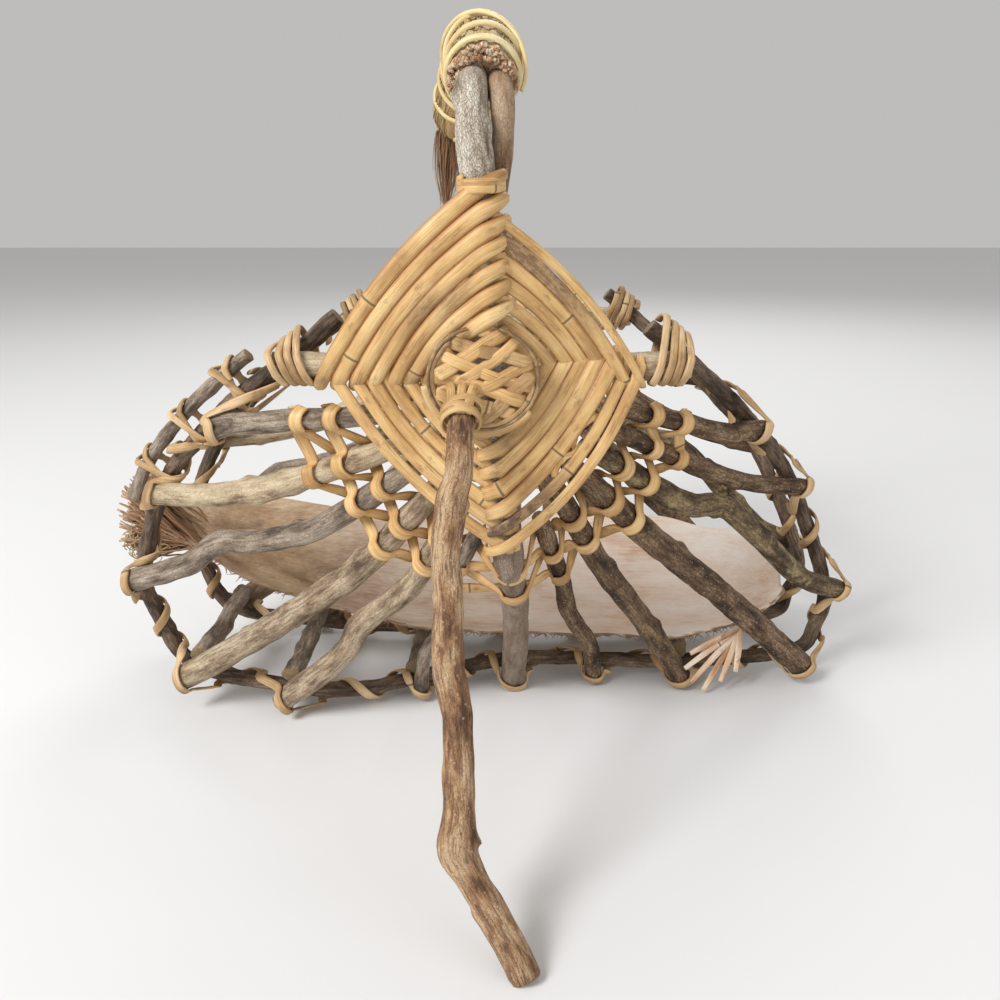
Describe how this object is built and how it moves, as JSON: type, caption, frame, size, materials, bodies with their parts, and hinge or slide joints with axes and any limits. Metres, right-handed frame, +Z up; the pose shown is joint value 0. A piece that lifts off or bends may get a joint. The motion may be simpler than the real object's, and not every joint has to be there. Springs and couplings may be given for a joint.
{
  "type": "twig basket",
  "caption": "Basket of crooked sticks lashed with split cane, with a woven diamond at each end, two prop legs, a bound handle and a palm sheath liner.",
  "frame": {"origin": "middle of the whole basket's footprint, on the surface it stands on", "axes": "+Z up; +Y from the front end, seen in the picture, to the back end; +X to the picture's right"},
  "size_m": [0.428, 0.5042, 0.3743],
  "materials": {
    "bark_grey": "dry grey bark",
    "bark_brown": "dark brown bark",
    "peeled_stick": "peeled, weathered wood",
    "leg_bark": "reddish grey-brown bark with pale speckles",
    "dark_vine": "wrinkled dark vine",
    "golden_cane": "split cane, slight sheen",
    "weathered_cane": "split cane, dull",
    "palm_husk": "coarse plant fibre",
    "palm_sheath": "thin dry palm sheath"
  },
  "bodies": {
    "root": {"crossbar_back": "peeled_stick", "crossbar_front": "peeled_stick", "end_lashing_back_left": "golden_cane", "end_lashing_back_right": "golden_cane", "end_lashing_front_left": "golden_cane", "end_lashing_front_right": "golden_cane", "eye_pad_back": "golden_cane", "eye_pad_front": "golden_cane", "floor_stick_1": "bark_grey", "floor_stick_2": "bark_grey", "floor_stick_3": "bark_grey", "floor_stick_4": "bark_grey", "gods_eye_back": "golden_cane", "gods_eye_front": "golden_cane", "grip_binding": "golden_cane", "grip_husk": "palm_husk", "hoop_back": "dark_vine", "hoop_front": "dark_vine", "hoop_lacing_back": "weathered_cane", "hoop_lacing_front": "weathered_cane", "hoop_rod_front": "dark_vine", "husk_tail": "palm_husk", "leg_back": "leg_bark", "leg_front": "leg_bark", "palm_sheath": "palm_sheath", "rib_back_left_1": "bark_grey", "rib_back_left_2": "peeled_stick", "rib_back_left_3": "bark_grey", "rib_back_left_4": "bark_grey", "rib_back_left_5": "bark_grey", "rib_back_left_6": "bark_grey", "rib_back_right_1": "bark_brown", "rib_back_right_2": "bark_brown", "rib_back_right_3": "bark_brown", "rib_back_right_4": "bark_brown", "rib_back_right_5": "bark_brown", "rib_back_right_6": "bark_brown", "rib_front_left_1": "bark_grey", "rib_front_left_2": "peeled_stick", "rib_front_left_3": "bark_grey", "rib_front_left_4": "bark_grey", "rib_front_left_5": "bark_grey", "rib_front_left_6": "bark_grey", "rib_front_right_1": "bark_brown", "rib_front_right_2": "bark_brown", "rib_front_right_3": "bark_brown", "rib_front_right_4": "bark_brown", "rib_front_right_5": "bark_brown", "rib_front_right_6": "bark_brown", "sheath_fringe": "palm_sheath", "upright_back": "bark_brown", "upright_front": "bark_grey", "weaver_back_1": "golden_cane", "weaver_back_2": "golden_cane", "weaver_back_3": "golden_cane", "weaver_back_4": "golden_cane", "weaver_front_1": "golden_cane", "weaver_front_2": "golden_cane", "weaver_front_3": "golden_cane", "weaver_front_4": "golden_cane"}
  },
  "joints": []
}
